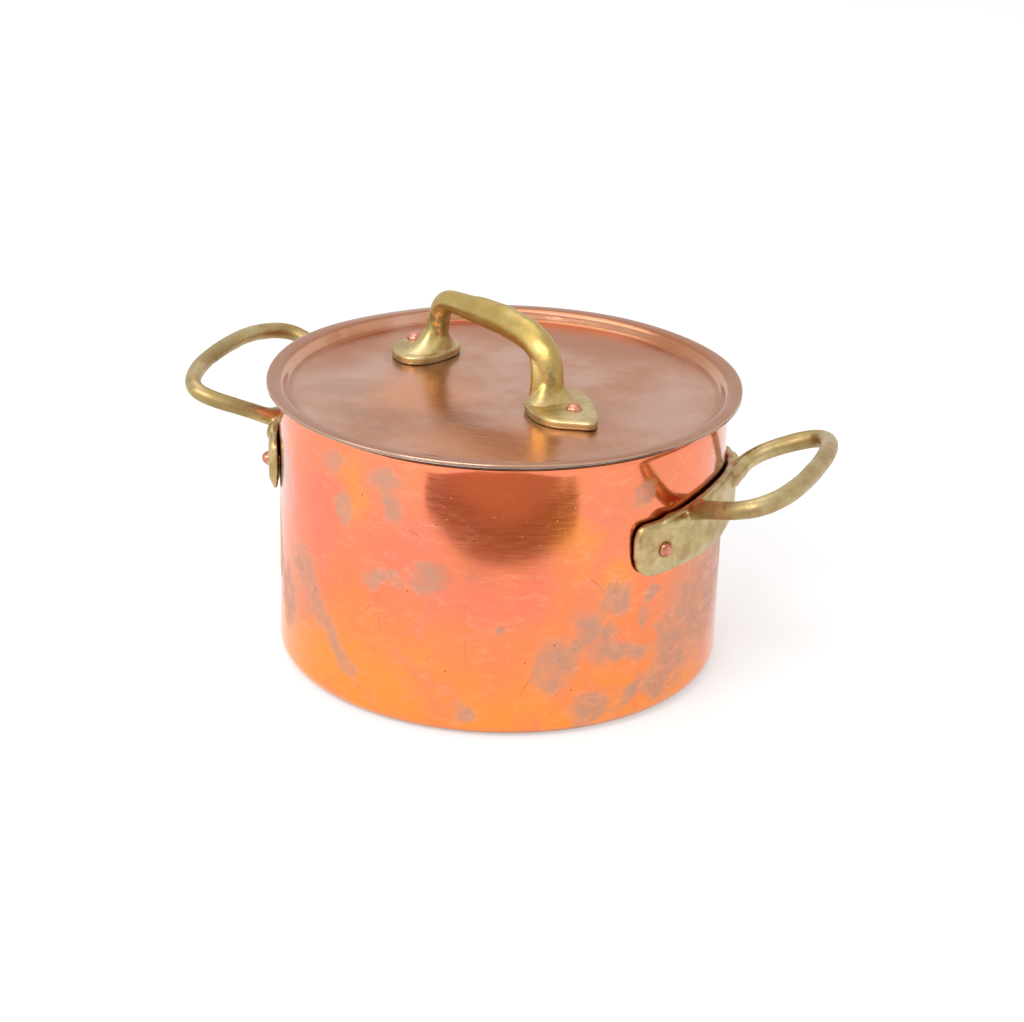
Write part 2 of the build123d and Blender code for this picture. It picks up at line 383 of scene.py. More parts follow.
def patches(tree, place, spots, ragged, size, soft=(1.3, 0.62)):
    """Share from 0 to 1 inside the union of soft ellipses. Each spot is its centre in mm, its
    half sizes (through, along, up), its turn about Z and its lean, both in degrees. A noise of
    this size shifts the outline by up to ragged mm. Soft is how far out, in half sizes, a spot
    begins and is full."""
    shift = add(tree, "ShaderNodeTexNoise", {"Vector": place, "Scale": per_size(size), "Detail": 4.0,
                                             "Roughness": 0.6}).outputs["Color"]
    centred = add(tree, "ShaderNodeVectorMath", {0: shift, 1: (0.5,) * 3}, operation="SUBTRACT").outputs[0]
    moved = add(tree, "ShaderNodeVectorMath", {0: centred, 1: (4 * ragged * MM,) * 3, 2: place},
                operation="MULTIPLY_ADD").outputs[0]
    cover = None
    for centre, half, turn, lean in spots:
        local = add(tree, "ShaderNodeMapping", {
            "Vector": moved, "Location": tuple(c * MM for c in centre),
            "Rotation": (math.radians(lean), 0, math.radians(turn)),
            "Scale": tuple(h * MM for h in half)}, vector_type="TEXTURE").outputs[0]
        away = add(tree, "ShaderNodeVectorMath", {0: local}, operation="LENGTH").outputs["Value"]
        share = add(tree, "ShaderNodeMapRange", {0: away, 1: soft[0], 2: soft[1]}, **SMOOTH).outputs[0]
        if cover is not None:
            share = add(tree, "ShaderNodeMath", {0: cover, 1: share}, operation="MAXIMUM").outputs[0]
        cover = share
    return cover


def on_wall(angle, height, half_along, half_up, lean=0.0, radius=POT_RADIUS):
    """Spot on the pot's wall at an angle round it and a height."""
    a = math.radians(angle)
    return (radius * math.cos(a), radius * math.sin(a), height), (30, half_along, half_up), angle, lean


def on_panel(x, y, half_x, half_y, turn):
    """Spot on the lid's panel."""
    return (x, y, PANEL_Z), (half_x, half_y, 20), turn, 0


def by_handle(along, across, half, height=PANEL_Z, turn=LID_TURN):
    """Spot at a height over the pot's underside, placed along and across the lid's handle."""
    x, y, _ = turned(np.array([along, across, height]), LID_TURN, LID_HANDLE_CENTRE)
    return (x, y, height), half, turn, 0


# Softness of broad changes of tone, which begin far out and are full only at their middle.
VAGUE = (1.5, 0.2)

# Stains on the pot's wall: angle, height, half sizes along and up, lean.
BIG_STAINS = [on_wall(*spot) for spot in (
    (-6, 46, 27, 27, -4), (-17, 27, 12, 15, 18), (8, 60, 16, 18, 0), (28, 38, 18, 16, -10),
    (52, 70, 13, 10, 0), (-24, 18, 10, 6, -20), (-21, 40, 5, 10, -18), (-38, 61, 7, 8, -22),
    (-45, 50, 6.5, 10, 12), (-53, 33, 9.5, 13, -25), (-48, 43, 4, 7, -30), (-39.5, 45, 4.5, 6, 15),
    (-36, 36, 17, 5, -9), (-28, 50, 4, 6, 0), (-26, 61, 4.5, 3, 0), (-43, 11, 11, 7, 8),
    (-23, 15, 11, 6.5, -12), (-32, 15, 3, 10, -48), (-30, 108, 4, 6, -28), (-85, 72, 9, 8, 20),
    (-93, 70, 4, 3, 0), (-99, 68, 8, 4.5, 25), (-97, 113, 8, 5, 0), (-95, 103, 5, 8, 10),
    (-113, 114, 5, 5.5, 0), (-109, 96, 4, 8, 8), (-126, 56, 11, 11, 20), (-122, 46, 8, 12, 42),
    (-115, 35, 6, 13, 44), (-109, 24, 4.5, 11, 40), (-137, 36, 10, 18, 0), (-75, 12, 5, 4, 30),
    (-66, 52, 3, 2.4, 0), (-150, 62, 11, 16, 20), (-146, 46, 7, 9, 0), (-172, 27, 12, 8, 0),
    (178, 19, 8, 6, 0), (160, 51, 8, 14, -15), (154, 38, 8, 8, 20), (134, 86, 11, 7, 10),
    (127, 81, 7, 5, -20), (120, 32, 12, 6, 12), (111, 26, 8, 6, -10), (93, 66, 7, 13, 25),
    (88, 50, 6, 8, 40), (76, 24, 11, 6, -10), (67, 19, 7, 5, 10))]
# Fine scratches through the polish, rosy and amber areas of the wall, and the paler painted reflection at its
# grazing sides, in the same terms.
SCRATCHES = [on_wall(*spot) for spot in (
    (-43, 70, 0.3, 8, 42), (-37.5, 70, 0.25, 7, -10), (-88, 92, 0.4, 4, 62), (-75, 40, 0.2, 9, 4),
    (-60, 26, 0.25, 8, -28), (-98, 52, 0.2, 12, 8), (12, 30, 0.3, 12, 25), (80, 66, 0.3, 14, -30),
    (140, 40, 0.3, 10, 20))]
ROSY = [on_wall(*spot) for spot in (
    (-118, 88, 22, 26, 0), (-92, 80, 22, 22, 10), (-72, 62, 24, 14, 0), (-60, 66, 12, 14, 0),
    (150, 80, 30, 24, 0), (60, 90, 26, 18, 0), (10, 96, 14, 14, 0))]
AMBER = [on_wall(*spot) for spot in (
    (-50, 98, 12, 22, 0), (-108, 104, 10, 16, 0), (-36, 66, 12, 14, 0), (-128, 20, 30, 14, 0),
    (-88, 16, 30, 8, 0), (100, 40, 24, 16, 0), (-170, 50, 14, 20, 0))]
GRAZING_SHEEN = [on_wall(*spot) for spot in ((-158, 70, 14, 60, 0), (8, 70, 18, 60, 0), (-140, 96, 14, 20, 0))]


def polished_copper(tree, place):
    """Drawn copper sheet, hand polished long ago: bright salmon to amber metal that mirrors its
    surroundings softly, under grey-brown stains with soft edges, fine scratches and tiny pits."""
    height = add(tree, "ShaderNodeSeparateXYZ", {0: place}).outputs[2]
    cloud = add(tree, "ShaderNodeTexNoise", {"Vector": place, "Scale": per_size(48), "Detail": 4.0,
                                             "Roughness": 0.6}).outputs[0]
    # Amber low on the wall, rosier higher up: the amber is partly the metal's own tone and partly painted
    # reflection of the floor lit orange by the pot.
    rise = plus(tree, 0.0, (height, 1 / (POT_HEIGHT * MM)), (cloud, 0.9))
    rosiness = add(tree, "ShaderNodeMapRange", {0: rise, 1: 0.45, 2: 1.25}, **SMOOTH).outputs[0]
    base = add(tree, "ShaderNodeValToRGB", {0: rosiness}, stops=[
        (0.0, "#FA9748"), (0.3, "#F68D52"), (0.62, "#F08658"), (1.0, "#EE8862")]).outputs[0]
    # Amber patches: the broad low ones add painted reflection of the orange-lit floor, the rest are the
    # metal's own tone.
    base = layer(tree, base, patches(tree, place, AMBER, 9.0, 24, VAGUE), 0.7, "#F99848")
    # Rosier cheeks where the polish was rubbed hardest.
    base = layer(tree, base, patches(tree, place, ROSY, 9.0, 26, VAGUE), 0.75, "#EC7C64")
    # Heat tint: pink where the metal got hot.
    base = layer(tree, base, mottled(tree, place, 33, 0.5, 0.72, 5.0, 0.62, 0.6), 0.45, "#E67E70")
    # Painted reflection: paler lilac at both sides of the wall as the camera sees it, where the wall is seen
    # edge-on.
    base = layer(tree, base, patches(tree, place, GRAZING_SHEEN, 6.0, 30, (1.4, 0.3)), 0.8, "#CDA298")
    # The stains, thinner where their grain is low.
    grain = mottled(tree, place, 8, 0.3, 0.56, 6.0, 0.66, 0.5)
    stained = overlap(tree, patches(tree, place, BIG_STAINS, 4.2, 14, (1.42, 0.5)),
                      plus(tree, 0.45, (grain, 0.55)))
    base = layer(tree, base, stained, 0.86, "#C3967F")
    base = layer(tree, base, patches(tree, place, SCRATCHES, 0.8, 9, (1.2, 0.3)), 0.5, "#94583E")
    # Paler smears where cloths dragged the polish.
    dragged = add(tree, "ShaderNodeMapping", {"Vector": place, "Rotation": (0.5, 0.4, 0.3),
                                              "Scale": (1.0, 1.0, 2.2)}).outputs[0]
    base = layer(tree, base, mottled(tree, dragged, 11, 0.5, 0.7, 7.0, 0.68, 1.2), 0.3, "#FFB08C")
    # Light haze of tarnish that never quite covers.
    haze = mottled(tree, place, 15, 0.52, 0.74, 7.0, 0.68, 1.0)
    base = layer(tree, base, haze, 0.36, "#D08C6E")
    # A thin dark line where the base turns under.
    base = layer(tree, base, within(tree, height, ends=(0.5, 4.5)), 0.7, "#9A5A38")
    # Pits, about half a millimetre across.
    pits = specks(tree, place, 6.5, (0.1, 0.045), 19, 0.47, 0.58, 2.0)
    base = layer(tree, base, pits, 0.7, "#7E4A34")
    # Dust, which only shows where the metal mirrors something dark.
    dust = specks(tree, place, 3.1, (0.13, 0.07), 6, 0.5, 0.6, 3.0)
    base = layer(tree, base, dust, 0.5, "#F3B892")
    # Polishing scratches, about 1 mm apart and drawn round the wall; coarser than the real ones.
    drawn = add(tree, "ShaderNodeMapping", {"Vector": place, "Scale": (1.0, 1.0, 14.0)}).outputs[0]
    rub = add(tree, "ShaderNodeTexNoise", {"Vector": drawn, "Scale": per_size(14), "Detail": 3.0,
                                           "Roughness": 0.7}).outputs[0]
    polish = add(tree, "ShaderNodeMapRange", {0: rub, 1: 0.3, 2: 0.75, 3: 0.10, 4: 0.17}, **SMOOTH).outputs[0]
    rough = plus(tree, polish, (stained, 0.34), (haze, 0.06), (dust, 0.5))
    beating = add(tree, "ShaderNodeTexNoise", {"Vector": place, "Scale": per_size(38), "Detail": 2.0,
                                               "Roughness": 0.5}).outputs[0]
    dents = plus(tree, beating, (rub, 0.05), (pits, -0.08))
    bump = add(tree, "ShaderNodeBump", {"Strength": 0.35, "Distance": 0.4 * MM, "Height": dents}).outputs[0]
    return {"Base Color": base, "Roughness": rough, "Normal": bump}


PALE_SIDES = [on_panel(-72, -22, 22, 44, -10), on_panel(74, 6, 18, 46, 10)]
FOOT_HALOS = [by_handle(50, 1, (20.5, 19, 12)), by_handle(-46, -3.5, (16.5, 20, 12))]
RUBBED = [on_panel(26, -66, 34, 28, 20), on_panel(-30, -22, 24, 28, 30)]
WARM_BACK = [on_panel(10, 80, 80, 20, 0), on_panel(-84, 20, 12, 34, 0)]
LID_STAINS = [on_panel(60, -55, 22, 12, -40), on_panel(-62, -30, 18, 12, 35), on_panel(20, 70, 26, 9, 8),
              on_panel(-40, -62, 20, 8, -35)]


def satin_copper(tree, place):
    """Lid sheet, scoured to a satin and gone rosy brown with handling: a broad soft sheen, painted shade
    in the recess's crease, a painted highlight on its sloping wall, paler where fingers and cloths rub it."""
    radius, _ = round_pot(tree, place)
    base = add(tree, "ShaderNodeValToRGB", {0: mottled(tree, place, 36, 0.3, 0.72, 5.0, 0.62)}, stops=[
        (0.0, "#B47350"), (0.5, "#BC8567"), (1.0, "#C79A85")]).outputs[0]
    base = layer(tree, base, patches(tree, place, PALE_SIDES, 8.0, 26, VAGUE), 0.6, "#CBA495")
    # The flange keeps a browner skin.
    flange = within(tree, radius, (97.5, 99.5))
    base = layer(tree, base, flange, 0.75, "#A87255")
    # Painted shade: a dark line in the crease. Painted highlight: the sloping wall of the recess is paler.
    base = layer(tree, base, within(tree, radius, (93.0, 95.2), (95.8, 96.6)), 0.4, "#8E5A42")
    slope = within(tree, radius, (96.0, 96.8), (98.8, 99.6))
    base = layer(tree, base, slope, 0.6, "#DEAC90")
    # Darker brown round the handle's feet.
    base = layer(tree, base, patches(tree, place, FOOT_HALOS, 1.2, 5, (1.12, 0.9)), 0.4, "#9A7450")
    # The tin shows through at the very edge.
    base = layer(tree, base, within(tree, radius, (105.0, 105.6)), 0.5, "#CDB3A2")
    # Where fingers lift the lid the brown is rubbed to orange; behind the handle it is darker.
    base = layer(tree, base, patches(tree, place, RUBBED, 8.0, 30, VAGUE), 0.85, "#D68F64")
    base = layer(tree, base, patches(tree, place, WARM_BACK, 8.0, 30, VAGUE), 0.85, "#AE683E")
    marks = mottled(tree, place, 5, 0.58, 0.8, 6.0, 0.7)
    base = layer(tree, base, marks, 0.35, "#9C6650")
    base = layer(tree, base, patches(tree, place, LID_STAINS, 4.0, 14), 0.35, "#A56E50")
    # Scouring lines, all one way.
    scoured = add(tree, "ShaderNodeMapping", {"Vector": place, "Rotation": (0, 0, 0.6),
                                              "Scale": (1.0, 9.0, 1.0)}).outputs[0]
    rub = add(tree, "ShaderNodeTexNoise", {"Vector": scoured, "Scale": per_size(12), "Detail": 4.0,
                                           "Roughness": 0.7}).outputs[0]
    satin = add(tree, "ShaderNodeMapRange", {0: rub, 1: 0.25, 2: 0.8, 3: 0.2, 4: 0.3}, **SMOOTH).outputs[0]
    bright = add(tree, "ShaderNodeMath", {0: flange, 1: slope}, operation="MAXIMUM").outputs[0]
    rough = plus(tree, satin, (marks, 0.08), (bright, -0.08))
    waves = add(tree, "ShaderNodeTexNoise", {"Vector": place, "Scale": per_size(20), "Detail": 2.0,
                                             "Roughness": 0.5}).outputs[0]
    dents = plus(tree, waves, (rub, 0.06))
    bump = add(tree, "ShaderNodeBump", {"Strength": 0.3, "Distance": 0.6 * MM, "Height": dents}).outputs[0]
    return {"Base Color": base, "Roughness": rough, "Normal": bump}


# Dull places on the side handles' loops: centre, half sizes and turn, the left loop's before it is turned.
RIGHT_SKIN = [((127, 46, 106), (15, 9, 9), 20), ((112, -41, 100), (9, 8, 8), 0),
              ((128, -50, 108), (7, 6, 5), 0)]
LEFT_SKIN = [((128, -48, 112), (18, 12, 9), 20), ((118, 44, 109), (16, 9, 8), 0),
             ((145, 10, 119), (6, 14, 6), 0)]
SKIN = [(spot, half, turn, 0) for spot, half, turn in RIGHT_SKIN]
SKIN += [(turned(np.array(spot), LEFT_TURN), half, turn, 0) for spot, half, turn in LEFT_SKIN]
# Patina on the lid's handle: the back post, and flecks on the front one.
PATINA = [by_handle(-38, -2, (7, 7, 8), 141, 0), by_handle(44, -3, (3, 4, 7), 139, 0)]
# Where the rivet heads sit in the brass.
RIVET_SPOTS = [on_wall(angle, height, HEAD_RADIUS, HEAD_RADIUS, radius=103)
               for _, angle, height, _ in WALL_RIVETS]
RIVET_SPOTS += [by_handle(side * FOOT_RIVET, RIVET_ACROSS, (HEAD_RADIUS, HEAD_RADIUS, 30))
                for side in (-1, 1)]


def cast_brass(tree, place):
    """Sand-cast yellow brass, filed and then worn by hands: olive-yellow metal with a dull brown
    skin in hollows, pale worn ridges, and a dark line of old polish round the copper rivets."""
    radius, height = round_pot(tree, place)
    base = add(tree, "ShaderNodeValToRGB", {0: mottled(tree, place, 17, 0.28, 0.72, 5.0, 0.62)}, stops=[
        (0.0, "#A88F5E"), (0.45, "#BCA673"), (1.0, "#CFBF92")]).outputs[0]
    base = layer(tree, base, mottled(tree, place, 11, 0.46, 0.68, 5.0, 0.65, 0.6), 0.6, "#A8825A")
    base = layer(tree, base, mottled(tree, place, 13, 0.56, 0.78, 4.0, 0.6), 0.55, "#D2C3A8")
    # Dirt stays in hollows, and ridges are rubbed bright.
    bend = add(tree, "ShaderNodeNewGeometry").outputs["Pointiness"]
    hollow = add(tree, "ShaderNodeMapRange", {0: bend, 1: 0.49, 2: 0.43}, **SMOOTH).outputs[0]
    ridge = add(tree, "ShaderNodeMapRange", {0: bend, 1: 0.52, 2: 0.58}, **SMOOTH).outputs[0]
    base = layer(tree, base, hollow, 0.75, "#5C4A22")
    base = layer(tree, base, ridge, 0.6, "#EBD896")
    pits = specks(tree, place, 3.2, (0.2, 0.08), 12, 0.52, 0.62, 2.0)
    base = layer(tree, base, pits, 0.55, "#6A5426")
    # Dull brown skin on the arms of the loops, where no cloth reaches.
    skin = patches(tree, place, SKIN, 3.5, 9, (1.4, 0.3))
    base = layer(tree, base, skin, 0.75, "#9C8858")
    # The loops, which stand far out, are darker than the plates and the lid's handle.
    reach = add(tree, "ShaderNodeVectorMath", {0: place}, operation="LENGTH").outputs["Value"]
    base = layer(tree, base, within(tree, reach, (146, 158)), 0.3, "#8E7750")
    # Near-black along the plates where they meet the wall: old polish caught in the gap, and painted shade of
    # the gap. A dark ring of old polish round the rivets.
    gap_dirt_and_shade = overlap(tree, within(tree, radius, ends=(100.9, 101.8)), within(tree, height, ends=(106, 110)))
    base = layer(tree, base, gap_dirt_and_shade, 0.92, "#2E2A1C")
    heads = patches(tree, place, RIVET_SPOTS, 0.25, 3, (1.08, 1.0))
    rings = plus(tree, patches(tree, place, RIVET_SPOTS, 0.25, 3, (1.18, 1.08)), (heads, -1.0))
    base = layer(tree, base, rings, 0.8, "#6B5A34")
    # The lid's handle is the yellower casting.
    base = layer(tree, base, within(tree, height, (127, 134)), 0.45, "#C0A650")
    # Verdigris in the joint between the lid and the handle's feet.
    joint = overlap(tree, within(tree, height, (122.6, 123.4), (125.0, 125.8)),
                    mottled(tree, place, 4, 0.3, 0.5))
    base = layer(tree, base, joint, 0.85, "#B4BC9C")
    # Green-brown patina on the shaded post, where the bow turns down.
    shaded = overlap(tree, patches(tree, place, PATINA, 3.0, 5, (1.35, 0.4)),
                     mottled(tree, place, 3.5, 0.36, 0.56, 5.0, 0.65))
    base = layer(tree, base, shaded, 0.7, "#6E7150")
    dull = add(tree, "ShaderNodeMath", {0: skin, 1: shaded}, operation="MAXIMUM").outputs[0]
    matt = mottled(tree, place, 6, 0.3, 0.75, 5.0, 0.65)
    rough = plus(tree, 0.34, (matt, 0.16), (hollow, 0.2), (dull, 0.14))
    sand = add(tree, "ShaderNodeTexNoise", {"Vector": place, "Scale": per_size(2.2), "Detail": 4.0,
                                            "Roughness": 0.6}).outputs[0]
    grit = plus(tree, sand, (pits, -0.7))
    bump = add(tree, "ShaderNodeBump", {"Strength": 0.3, "Distance": 0.25 * MM, "Height": grit}).outputs[0]
    return {"Base Color": base, "Roughness": rough, "Normal": bump}


def hammered_copper(tree, place):
    """Copper rivet, its head beaten to a dome: pinkish metal, darker where dirt stays."""
    base = add(tree, "ShaderNodeValToRGB", {0: mottled(tree, place, 2.5, 0.3, 0.7, 4.0)}, stops=[
        (0.0, "#B0684E"), (1.0, "#DC9C86")]).outputs[0]
    bend = add(tree, "ShaderNodeNewGeometry").outputs["Pointiness"]
    hollow = add(tree, "ShaderNodeMapRange", {0: bend, 1: 0.5, 2: 0.44}, **SMOOTH).outputs[0]
    base = layer(tree, base, hollow, 1.0, "#5E3426")
    blows = add(tree, "ShaderNodeTexNoise", {"Vector": place, "Scale": per_size(2.0), "Detail": 3.0,
                                             "Roughness": 0.55}).outputs[0]
    bump = add(tree, "ShaderNodeBump", {"Strength": 0.35, "Distance": 0.2 * MM, "Height": blows}).outputs[0]
    rough = plus(tree, 0.22, (mottled(tree, place, 1.5, 0.3, 0.7), 0.16))
    return {"Base Color": base, "Roughness": rough, "Normal": bump}


def wiped_tin(tree, place):
    """Tin wiped on by hand while molten: soft grey-white metal with broad streaks, dulled and
    stained where food has cooked."""
    streaked = add(tree, "ShaderNodeMapping", {"Vector": place, "Rotation": (0.3, 0.2, 0.5),
                                               "Scale": (1.0, 3.0, 1.4)}).outputs[0]
    wipe = add(tree, "ShaderNodeTexNoise", {"Vector": streaked, "Scale": per_size(22), "Detail": 5.0,
                                            "Roughness": 0.6, "Distortion": 0.7}).outputs[0]
    bright = add(tree, "ShaderNodeMapRange", {0: wipe, 1: 0.3, 2: 0.72}, **SMOOTH).outputs[0]
    base = add(tree, "ShaderNodeValToRGB", {0: bright}, stops=[
        (0.0, "#B4B0A8"), (0.5, "#C8C5BD"), (1.0, "#DBD9D3")]).outputs[0]
    base = layer(tree, base, mottled(tree, place, 30, 0.55, 0.75, 6.0, 0.65), 0.5, "#8C7D6A")
    # Near-black between the lid's flange and the pot's rim: painted shade of the gap under the flange, with
    # dirt caught there.
    radius, height = round_pot(tree, place)
    grime_and_gap_shade = overlap(tree, within(tree, radius, (98.6, 99.6), (105.0, 105.7)),
                    within(tree, height, (123.6, 124.6)))
    base = layer(tree, base, grime_and_gap_shade, 0.94, "#241C18")
    satin = add(tree, "ShaderNodeMapRange", {0: wipe, 1: 0.25, 2: 0.75, 3: 0.28, 4: 0.46}, **SMOOTH)
    rough = plus(tree, satin.outputs[0], (grime_and_gap_shade, 0.3))
    bump = add(tree, "ShaderNodeBump", {"Strength": 0.3, "Distance": 0.4 * MM, "Height": wipe}).outputs[0]
    return {"Base Color": base, "Roughness": rough, "Normal": bump}


POT_COPPER = metal("hand_polished_copper", polished_copper)
LID_COPPER = metal("satin_tarnished_copper", satin_copper)
BRASS = metal("aged_cast_brass", cast_brass)
RIVET_COPPER = metal("hammered_copper", hammered_copper)
TIN_METAL = metal("hand_wiped_tin", wiped_tin)


def place_piece(o, node, body, material):
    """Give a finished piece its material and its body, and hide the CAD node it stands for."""
    o.data.materials.clear()
    o.data.materials.append(material)
    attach(o, body)
    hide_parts(node)


def sheet_section(upper, lower, inward, lip, step):
    """Closed section of a sheet between its two faces, each a line that ends at the open edge. The
    edge is rounded by lip, and inward is a step back from it along the sheet."""
    rim = bent_line([upper[-1] - inward, upper[-1], lower[-1], lower[-1] - inward], [lip, lip], 4)
    return spread(np.vstack([upper[:-1], rim[1:-1], lower[::-1][1:]]), step)


# ---- pot shell and its lining ----
def beaten(r, a, z):
    """Slight unevenness of the drawn wall: the radius shifts with angle and height, more at mid
    height than at the stiff base."""
    at = np.stack([POT_RADIUS * np.cos(a), POT_RADIUS * np.sin(a), z], -1).reshape(-1, 3)
    wave = 0.10 * ripple(at, 62, 11) + 0.015 * ripple(at, 24, 12)
    share = smoothstep(r / 60.0) * smoothstep((z + 2) / 30.0)
    return r + wave.reshape(r.shape) * share, z


def cup_section(outer_depth, inner_depth, lip):
    """Section of a straight-sided cup between two depths into the pot's metal."""
    faces = [bent_line([(0, depth), (POT_RADIUS - depth, depth), (POT_RADIUS - depth, POT_HEIGHT)],
                       [BASE_CORNER - depth], 12) for depth in (outer_depth, inner_depth)]
    return sheet_section(*faces, (0, 3), lip, 3.2)


POT_TIN_DEPTH = POT_WALL + BOND_LINE
POT_STEPS = 288
pot_shell = make_mesh("pot_shell", *ringed(lathe(cup_section(0, POT_WALL, 0.5), POT_STEPS, beaten)))
place_piece(pot_shell, "pot_body", "pot", POT_COPPER)
pot_tin = make_mesh("pot_tin_wash", *ringed(lathe(cup_section(POT_TIN_DEPTH, POT_TIN_DEPTH + TIN, 0.08),
                                                  POT_STEPS, beaten)))
place_piece(pot_tin, "pot_tin_lining", "pot", TIN_METAL)


# ---- lid ----
def lid_face(depth):
    """Face of the lid at a depth under its top, from the axis out to the rim, bends rounded."""
    slope = math.radians(LID_SLOPE)
    shift = depth * math.tan(slope / 2)
    run = (FLANGE_Z - PANEL_Z) / math.tan(slope)
    stack = LID_SHEET + BOND_LINE + TIN
    return bent_line([(0, PANEL_Z - depth), (PANEL_EDGE + shift, PANEL_Z - depth),
                      (PANEL_EDGE + run + shift, FLANGE_Z - depth), (LID_RADIUS, FLANGE_Z - depth)],
                     [LID_BEND + depth, LID_BEND + stack - depth], 7)


def hand_bent(r, a, z):
    """Unevenness of the lid: the flange rises and dips and its rim is not quite round, while the
    sloping wall that fits the pot stays true."""
    at = np.stack([r * np.cos(a), r * np.sin(a), 0 * z], -1).reshape(-1, 3)
    out = smoothstep((r - 99.5) / 6.0)
    panel = smoothstep((92 - r) / 20)
    lift = 0.32 * ripple(at, 95, 21).reshape(r.shape) * out
    sag = (0.10 * ripple(at, 48, 22) + 0.03 * ripple(at, 20, 23)).reshape(r.shape) * panel
    return r + 0.3 * out * ripple(at, 80, 24).reshape(r.shape), z + lift + sag


LID_TIN_DEPTH = LID_SHEET + BOND_LINE
for name, node, top, bottom, lip, slot, material in (
        ("lid_sheet", "lid_plate", 0, LID_SHEET, 0.45, "lid_copper", LID_COPPER),
        ("lid_tin_wash", "lid_tin_lining", LID_TIN_DEPTH, LID_TIN_DEPTH + TIN, 0.08, "tin", TIN_METAL)):
    section = sheet_section(lid_face(top), lid_face(bottom), (3, 0), lip, 3.0)
    place_piece(make_mesh(name, *ringed(lathe(section, 300, hand_bent))), node, "lid", material)


# ---- side handles ----
PLATE_HALF = 33.4           # half angle of the plate round the wall
PLATE_BELOW = 12.2          # plate below the rivets' height, above it at the ends, and its rise between
PLATE_ABOVE = 12.7
PLATE_CROWN = 4.3
LOW_CORNER = 11.0           # rounding of the plate's lower and upper corners, and of its ends' faces
HIGH_CORNER = 5.5
END_CORNER = 4.5
LOW_BEVEL = 1.7             # worn bevels along the plate's lower and upper edges
HIGH_BEVEL = 0.8
LOOP_TILT = 17.3            # the loops' tilt, and the rise it gives them per mm outwards
LOOP_RISE = 0.311
LOOP_ROOT = (104, 98.9)     # radius and height that the loops' plane passes through


def arc_drop(from_end, radius):
    """How much a corner of a radius takes off at a distance from the end."""
    return radius - np.sqrt(np.clip(radius ** 2 - np.clip(radius - from_end, 0, radius) ** 2, 0, None))


def flange_plate(stand_off, rows=90, cols=48):
    """Ringed grid of the plate bent round the wall. Its section is a rounded oblong between two
    heights and two radii; towards each end the section gets lower by the corner's rounding and
    thinner by wear, and stand_off(along) carries it away from the wall."""
    share = np.linspace(-1, 1, rows)
    arc = np.radians(PLATE_HALF) * share
    from_end = (1 - np.abs(share)) * math.radians(PLATE_HALF) * (PLATE_INNER + PLATE_THICKNESS)
    low = RIVET_Z - PLATE_BELOW + arc_drop(from_end, LOW_CORNER)
    crown = PLATE_CROWN * (1 - smoothstep(np.abs(share) / 0.95))
    high = RIVET_Z + PLATE_ABOVE + crown - arc_drop(from_end, HIGH_CORNER)
    end_round = 1 - np.sqrt(1 - np.clip(1 - from_end / END_CORNER, 0, 1) ** 2)
    thick = PLATE_THICKNESS - 0.6 * smoothstep((np.abs(share) - 0.55) / 0.45) - 2.4 * end_round
    inner = PLATE_INNER + stand_off(share)
    a = np.linspace(0, 2 * np.pi, cols, endpoint=False)
    across, upward = (np.sign(v) * np.abs(v) ** 0.32 for v in (np.cos(a), np.sin(a)))
    low, high = low[:, None], high[:, None]
    z = (low + high) / 2 + (high - low) / 2 * upward
    r = inner[:, None] + thick[:, None] * (0.5 + 0.5 * across)
    bevel = LOW_BEVEL * smoothstep((low + 7.0 - z) / 7.0) + HIGH_BEVEL * smoothstep((z - high + 2.5) / 2.5)
    r -= bevel * (across > 0)
    grid = np.stack([r * np.cos(arc)[:, None], r * np.sin(arc)[:, None], z], -1)
    return capped(grid)


def loop_bar(front_shoulder, front_grip, grip, rear_grip, rear_shoulder, radii):
    """Ringed grid of the loop. Its line leaves the plate's upper edge, rises away from the wall in
    a tilted plane, and comes back; the bar swells at both roots. Radii are the bar's at its roots
    and at its middle."""
    def at(u, v, drop=0.0):
        return (u, v, LOOP_ROOT[1] + LOOP_RISE * (u - LOOP_ROOT[0]) - drop)
    control = [at(102.2, -15, 6.0), at(102.6, -24, 5.0), at(103.4, -31.5, 3.2), at(109.6, -37.8, 0.3),
               at(*front_shoulder), at(*front_grip), at(*grip), at(*rear_grip), at(*rear_shoulder),
               at(109.2, 38.0, 0.3), at(103.2, 31.5, 3.2), at(102.4, 24, 5.0), at(102.0, 15, 6.0)]
    path = hanging_curve(control, 150)
    s = np.linspace(-1, 1, len(path))
    side, mid = radii
    radius = side + (mid - side) * smoothstep((1 - np.abs(s)) / 0.7)
    swell = 1.8 * smoothstep((np.abs(s) - 0.60) / 0.22) * (1 - smoothstep((np.abs(s) - 0.84) / 0.16))
    normal = np.array([-math.sin(math.radians(LOOP_TILT)), 0, math.cos(math.radians(LOOP_TILT))])
    wander = 0.12 * ripple(path, 30, 31)
    return tube(path, normal, radius + 0.5 * swell + wander, radius + 0.25 * swell + wander * 0.6, 0.012)


def side_relief(points):
    """Casting and filing marks left on a side handle: dimples of a few millimetres."""
    return 0.07 * ripple(points, 17, 41) + 0.025 * ripple(points, 7, 42) + 0.012 * ripple(points, 3.2, 43)


def side_handle(name, node, loop, lifted_end, turn, rise):
    """Plate, loop, and at each root a gusset under it and a fillet before it, in one casting. The
    plate's far end stands off the wall by lifted_end."""
    plate = flange_plate(lambda share: lifted_end * smoothstep((share - 0.35) / 0.65))
    gussets = [turned(lump((102.5, 0.0, 90.8), (3.6, 10.0, 5.2)), 18.5 * side) for side in (-1, 1)]
    fillets = [turned(lump((103.4, 0.0, 92.6), (3.4, 7.5, 4.0)), 22.4 * side) for side in (-1, 1)]
    grids = [turned(g, turn, rise=rise) for g in (plate, loop, *gussets, *fillets)]
    place_piece(cast(name, grids, 0.62, 5, side_relief), node, "pot", BRASS)


